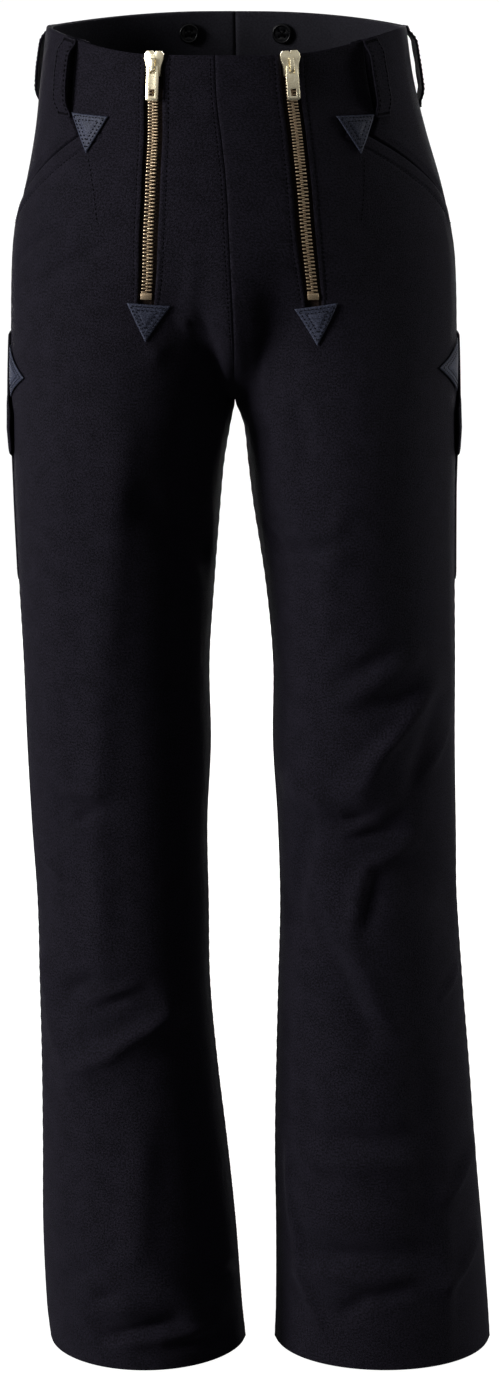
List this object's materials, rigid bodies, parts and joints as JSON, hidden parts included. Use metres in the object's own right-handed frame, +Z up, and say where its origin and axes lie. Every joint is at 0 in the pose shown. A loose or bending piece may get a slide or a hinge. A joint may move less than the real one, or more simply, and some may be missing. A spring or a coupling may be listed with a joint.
{
  "type": "carpenter trousers",
  "caption": "Flared carpenter trousers filled out as if worn, with front zips in place of a fly, belt loops, slant pockets, a rule pocket on each thigh and leather corner pieces.",
  "frame": {"origin": "centre of the waist opening, level with the top edge at the side seams", "axes": "+Z up out of the waist opening, front towards -Y, wearer's right leg towards -X"},
  "size_m": [0.3936, 0.2436, 1.0871],
  "materials": {
    "cloth": "soft matt black, short nap",
    "facing": "matt",
    "leather": "satin",
    "zip_tape": "matt woven tape",
    "zip_metal": "antique",
    "slider_metal": "pale, polished",
    "button": "gloss"
  },
  "bodies": {
    "garment": {"front_panel_right_hip": "cloth", "front_panel_right_thigh": "cloth", "front_panel_right_shin": "cloth", "front_panel_left_hip": "cloth", "front_panel_left_thigh": "cloth", "front_panel_left_shin": "cloth", "back_panel_right_hip": "cloth", "back_panel_right_thigh": "cloth", "back_panel_right_shin": "cloth", "back_panel_left_hip": "cloth", "back_panel_left_thigh": "cloth", "back_panel_left_shin": "cloth", "pocket_facing_right": "cloth", "pocket_facing_left": "cloth", "rule_pocket_right": "cloth", "rule_pocket_left": "cloth", "waist_facing_right": "facing", "waist_facing_left": "facing", "belt_loop_front_right": "cloth", "belt_loop_front_left": "cloth", "belt_loop_side_right": "cloth", "belt_loop_side_left": "cloth", "belt_loop_back": "cloth", "pocket_corner_right": "leather", "pocket_corner_left": "leather", "zip_corner_right": "leather", "zip_corner_left": "leather", "side_corner_right": "leather", "side_corner_left": "leather", "zip_tape_right": "zip_tape", "zip_tape_left": "zip_tape", "zip_chain_right": "zip_metal", "zip_chain_left": "zip_metal", "zip_stop_right": "zip_metal", "zip_stop_left": "zip_metal", "zip_slider_right": "slider_metal", "zip_slider_left": "slider_metal", "brace_button_right": "button", "brace_button_left": "button"},
    "pull_tab_right": {"pull_tab_right": "slider_metal"},
    "pull_tab_left": {"pull_tab_left": "slider_metal"}
  },
  "joints": [
    {"name": "pull_tab_right_swing", "type": "hinge", "parent": "garment", "child": "pull_tab_right", "pos_m": [-0.05459, -0.10076, -0.02554], "axis": [-0.9568, 0.29, 0.0199], "range_deg": [0, 140]},
    {"name": "pull_tab_left_swing", "type": "hinge", "parent": "garment", "child": "pull_tab_left", "pos_m": [0.05048, -0.10213, -0.02521], "axis": [-0.9633, -0.2617, -0.0597], "range_deg": [0, 140]}
  ]
}
